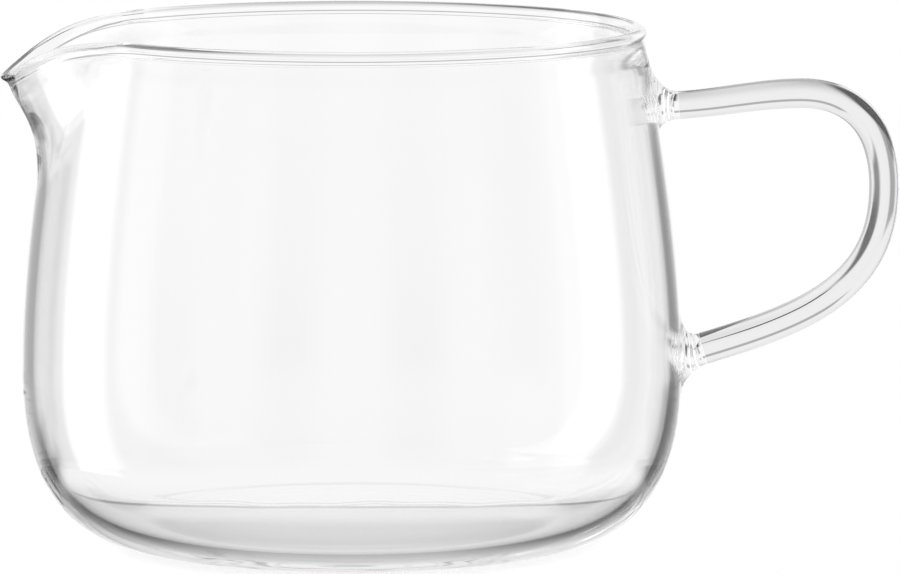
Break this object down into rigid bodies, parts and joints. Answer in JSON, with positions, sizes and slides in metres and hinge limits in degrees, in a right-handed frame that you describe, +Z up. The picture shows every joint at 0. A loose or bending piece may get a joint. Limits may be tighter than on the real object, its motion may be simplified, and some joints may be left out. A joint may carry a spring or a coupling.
{
  "type": "milk jug",
  "caption": "Clear blown-glass milk jug with a rounded belly, a pulled pouring spout in its rim and a bent glass rod handle welded to its side.",
  "frame": {"origin": "centre of the flat base that the jug stands on, on the axis of the body", "axes": "+Z up along the body's axis, -X towards the spout, +X towards the handle"},
  "size_m": [0.1426, 0.105, 0.0826],
  "materials": {
    "blown_glass": "clear, blown and fire-polished borosilicate",
    "rod_glass": "clear drawn borosilicate rod, bent in the flame",
    "weld_glass": "clear flame-welded borosilicate"
  },
  "bodies": {
    "root": {"blown_body": "blown_glass", "handle_rod": "rod_glass", "upper_weld": "weld_glass", "lower_weld": "weld_glass"}
  },
  "joints": []
}
